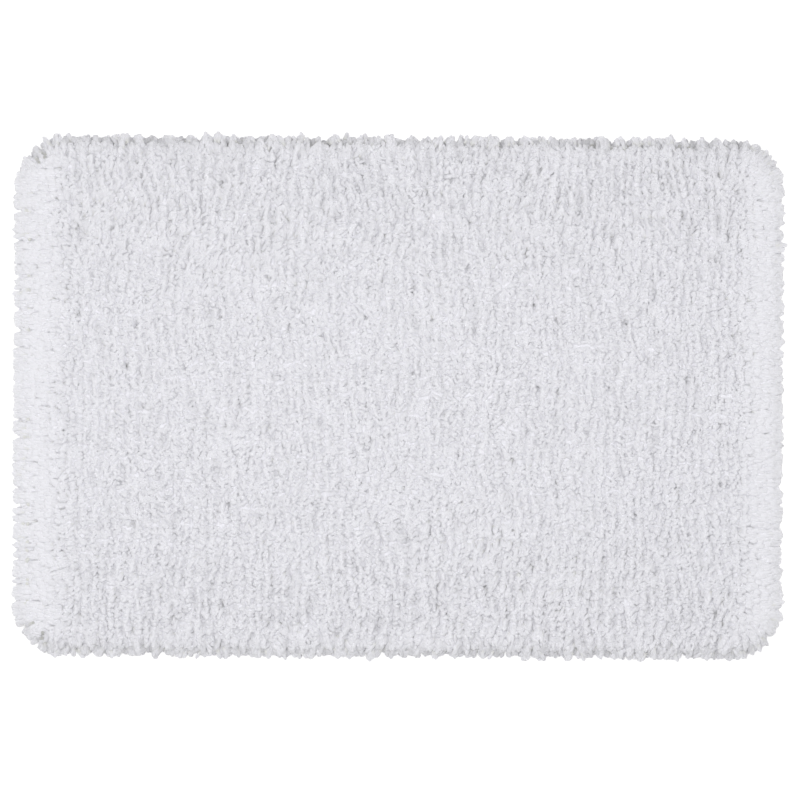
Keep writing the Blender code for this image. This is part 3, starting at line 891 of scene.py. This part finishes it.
class Finish:
    """A material with its Principled shader, and short ways to add what varies over its surface."""

    def __init__(self, name, colour, roughness):
        self.material = plain_material(name, colour, roughness)
        self.tree = self.material.node_tree
        self.shader = self.tree.nodes["Principled BSDF"]
        self.where = self.tree.nodes.new("ShaderNodeTexCoord").outputs["Object"]

    def set(self, **values):
        for name, value in values.items():
            self.shader.inputs[name.replace("_", " ")].default_value = value

    def group(self, group, **values):
        node = self.tree.nodes.new("ShaderNodeGroup")
        node.node_tree = group
        self.tree.links.new(self.where, node.inputs["Vector"])
        for name, value in values.items():
            node.inputs[name.replace("_", " ")].default_value = value
        return node

    def read(self, attribute):
        node = self.tree.nodes.new("ShaderNodeAttribute")
        node.attribute_name = attribute
        return node.outputs["Fac"]

    def ramp(self, value, *stops):
        node = self.tree.nodes.new("ShaderNodeValToRGB")
        for element, (place_on, colour) in zip(node.color_ramp.elements, stops):
            element.position = place_on
            element.color = (*colour, 1.0)
        self.tree.links.new(value, node.inputs["Fac"])
        return node.outputs["Color"]

    def spread(self, value, low, high, to_low, to_high):
        node = self.tree.nodes.new("ShaderNodeMapRange")
        names = ("From Min", "From Max", "To Min", "To Max")
        for name, number in zip(names, (low, high, to_low, to_high)):
            node.inputs[name].default_value = number
        self.tree.links.new(value, node.inputs["Value"])
        return node.outputs["Result"]

    def scale(self, colour, value):
        node = self.tree.nodes.new("ShaderNodeVectorMath")
        node.operation = "SCALE"
        self.tree.links.new(colour, node.inputs[0])
        self.tree.links.new(value, node.inputs["Scale"])
        return node.outputs["Vector"]

    def colour(self, value):
        self.tree.links.new(value, self.shader.inputs["Base Color"])

    def roughness(self, value):
        self.tree.links.new(value, self.shader.inputs["Roughness"])

    def bump(self, height, strength, distance, under=None):
        node = self.tree.nodes.new("ShaderNodeBump")
        node.inputs["Strength"].default_value = strength
        node.inputs["Distance"].default_value = distance
        self.tree.links.new(height, node.inputs["Height"])
        if under is not None:
            self.tree.links.new(under, node.inputs["Normal"])
        self.tree.links.new(node.outputs["Normal"], self.shader.inputs["Normal"])
        return node.outputs["Normal"]


def make_pile_yarn(fuzz):
    """Matt white cotton with short fuzz. Its colour carries painted shade: greyer and warmer towards the
    roots, and darker in the pile's creases, valleys, pits and gaps.
    """
    finish = Finish("pile yarn", (0.92, 0.92, 0.95), 1.0)
    finish.set(Specular_IOR_Level=0.1, Sheen_Weight=1.0, Sheen_Roughness=0.6)
    # Painted shade: the yarn turns greyer and warmer towards its root, low in the pile.
    yarn = finish.ramp(finish.read("along"), (0.0, (0.80, 0.80, 0.77)), (0.55, (0.924, 0.92, 0.965)))
    # Painted shade read from the tufts: the colour darkens to about half its brightness in creases, valleys
    # and gaps.
    depth = finish.spread(finish.read("painted_shade"), -2.4, 1.0, 0.53, 1.0)
    finish.colour(finish.scale(yarn, depth))
    fibres = finish.group(fuzz, Fibres_per_metre=430.0)
    finish.bump(fibres.outputs["Height"], 0.55, 1.5 * MM)
    return finish.material


def make_cloth_weave(weave, fuzz):
    """Plain-woven cream cloth with open corners between its threads."""
    finish = Finish("woven backing", (0.78, 0.76, 0.70), 0.95)
    finish.set(Specular_IOR_Level=0.2, Sheen_Weight=0.3)
    threads = finish.group(weave, Warp_per_metre=420.0, Weft_per_metre=420.0)
    fibres = finish.group(fuzz, Fibres_per_metre=900.0)
    cream = finish.ramp(threads.outputs["Lines"], (0.0, (0.62, 0.59, 0.52)), (0.5, (0.80, 0.78, 0.72)))
    finish.colour(cream)
    woven = finish.bump(threads.outputs["Height"], 0.8, 0.35 * MM)
    finish.bump(fibres.outputs["Height"], 0.3, 0.2 * MM, under=woven)
    return finish.material


def make_hem_twill(weave, fuzz, marks):
    """White cotton tape in a fine diagonal twill, slightly soiled where it is handled."""
    finish = Finish("hem twill", (0.84, 0.84, 0.84), 0.9)
    finish.set(Specular_IOR_Level=0.25, Sheen_Weight=0.4, Sheen_Roughness=0.5)
    threads = finish.group(weave, Warp_per_metre=500.0, Weft_per_metre=500.0, Slant=1.0)
    handled = finish.group(marks, Patches_per_metre=22.0)
    fibres = finish.group(fuzz, Fibres_per_metre=1100.0)
    cotton = finish.ramp(threads.outputs["Height"], (0.15, (0.70, 0.70, 0.69)), (0.7, (0.87, 0.87, 0.88)))
    finish.colour(finish.scale(cotton, finish.spread(handled.outputs["Marks"], 0.2, 0.8, 0.93, 1.02)))
    twill = finish.bump(threads.outputs["Height"], 0.9, 0.25 * MM)
    finish.bump(fibres.outputs["Height"], 0.25, 0.15 * MM, under=twill)
    return finish.material


def make_sewing_thread(weave, fuzz):
    """Twisted polyester thread with a soft shine along its plies."""
    finish = Finish("sewing thread", (0.88, 0.88, 0.88), 0.5)
    finish.set(Sheen_Weight=0.2)
    plies = finish.group(weave, Warp_per_metre=1500.0, Weft_per_metre=1500.0, Slant=1.0)
    fibres = finish.group(fuzz, Fibres_per_metre=2500.0)
    thread = finish.ramp(plies.outputs["Height"], (0.1, (0.72, 0.72, 0.72)), (0.6, (0.90, 0.90, 0.90)))
    finish.colour(thread)
    twisted = finish.bump(plies.outputs["Height"], 0.7, 0.12 * MM)
    finish.bump(fibres.outputs["Height"], 0.2, 0.05 * MM, under=twisted)
    return finish.material


def make_lock_latex(marks, fuzz):
    """Milky latex scraped on in one direction."""
    finish = Finish("lock latex", (0.74, 0.73, 0.68), 0.55)
    handled = finish.group(marks, Patches_per_metre=30.0)
    scrape = finish.group(fuzz, Fibres_per_metre=140.0)
    milky = finish.ramp(handled.outputs["Marks"], (0.2, (0.68, 0.66, 0.60)), (0.75, (0.79, 0.78, 0.73)))
    finish.colour(milky)
    finish.roughness(finish.spread(handled.outputs["Marks"], 0.2, 0.8, 0.42, 0.68))
    finish.bump(scrape.outputs["Height"], 0.5, 0.4 * MM)
    return finish.material


def make_antislip_latex(marks, fuzz):
    """Pale grey latex with a dull skin, pitted by small bubbles and dusted by the floor."""
    finish = Finish("antislip latex", (0.60, 0.61, 0.62), 0.6)
    finish.set(Coat_Weight=0.08, Coat_Roughness=0.5)
    handled = finish.group(marks, Patches_per_metre=16.0)
    skin = finish.group(fuzz, Fibres_per_metre=420.0)
    dusty = finish.ramp(handled.outputs["Marks"], (0.2, (0.55, 0.56, 0.57)), (0.8, (0.66, 0.67, 0.68)))
    finish.colour(dusty)
    finish.roughness(finish.spread(handled.outputs["Marks"], 0.2, 0.8, 0.50, 0.75))
    finish.bump(skin.outputs["Height"], 0.45, 0.25 * MM)
    return finish.material


def make_label_satin(weave, marks):
    """Blank white satin with its long floats across the label."""
    finish = Finish("label satin", (0.90, 0.90, 0.90), 0.38)
    finish.set(Sheen_Weight=0.3, Sheen_Roughness=0.3, Anisotropic=0.6)
    floats = finish.group(weave, Warp_per_metre=900.0, Weft_per_metre=3200.0)
    handled = finish.group(marks, Patches_per_metre=60.0)
    satin = finish.ramp(floats.outputs["Height"], (0.1, (0.84, 0.84, 0.84)), (0.8, (0.92, 0.92, 0.92)))
    finish.colour(finish.scale(satin, finish.spread(handled.outputs["Marks"], 0.2, 0.8, 0.96, 1.01)))
    finish.roughness(finish.spread(handled.outputs["Marks"], 0.2, 0.8, 0.32, 0.46))
    finish.bump(floats.outputs["Height"], 0.4, 0.06 * MM)
    return finish.material


def add_light(name, place, size, power):
    """A soft round light that faces the middle of the mat."""
    light = bpy.data.lights.new(name, "AREA")
    light.shape = "DISK"
    light.size = size
    light.energy = power
    lamp = bpy.data.objects.new(name, light)
    lamp.location = place
    lamp.rotation_euler = (Vector((0, 0, 0)) - Vector(place)).to_track_quat("-Z", "Y").to_euler()
    bpy.context.scene.collection.objects.link(lamp)


def build_studio():
    scene = bpy.context.scene
    scene.view_settings.view_transform = "Standard"
    scene.view_settings.look = "None"
    world = bpy.data.worlds.new("white studio")
    world.use_nodes = True
    background = world.node_tree.nodes["Background"]
    background.inputs["Color"].default_value = (1.0, 1.0, 1.0, 1.0)
    background.inputs["Strength"].default_value = WORLD_LIGHT
    scene.world = world
    mesh = bpy.data.meshes.new("floor")
    far = FLOOR_HALF
    mesh.from_pydata([(-far, -far, 0), (far, -far, 0), (far, far, 0), (-far, far, 0)], [], [(0, 1, 2, 3)])
    floor = bpy.data.objects.new("floor", mesh)
    scene.collection.objects.link(floor)
    material = plain_material("floor", (0.93, 0.93, 0.93), 0.9)
    shader = material.node_tree.nodes["Principled BSDF"]
    shader.inputs["Emission Color"].default_value = (1, 1, 1, 1)
    shader.inputs["Emission Strength"].default_value = FLOOR_GLOW
    floor.data.materials.append(material)
    add_light("soft window", (-1.5, -0.1, 2.0), 1.6, 6.8)
    add_light("side fill", (1.6, 0.0, 1.9), 1.4, 4.2)
    add_light("overhead softbox", (-0.1, 0.1, 2.6), 1.3, 33.1)
    camera_data = bpy.data.cameras.new("camera")
    camera_data.lens = LENS
    camera_data.sensor_width = SENSOR
    camera = bpy.data.objects.new("camera", camera_data)
    field = (MAT_HIGH[0] - MAT_LOW[0]) / MAT_SHARE_OF_VIEW
    camera.location = (*CAMERA_ASIDE, AIM_HEIGHT + field * LENS / SENSOR)
    camera.rotation_euler = (0.0, 0.0, CAMERA_ROLL)
    scene.collection.objects.link(camera)
    scene.camera = camera


def main():
    build_studio()
    fuzz, weave, marks = make_fuzz_group(), make_weave_group(), make_marks_group()
    build_pile(make_pile_yarn(fuzz))
    build_hem_tape(make_hem_twill(weave, fuzz, marks))
    build_backing_cloth(make_cloth_weave(weave, fuzz))
    thread = make_sewing_thread(weave, fuzz)
    build_seams(thread)
    build_label_seam(thread)
    build_antislip_coat(make_antislip_latex(marks, fuzz))
    build_care_label(make_label_satin(weave, marks))
    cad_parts["lock_coat"].material_slots[0].material = make_lock_latex(marks, fuzz)


main()
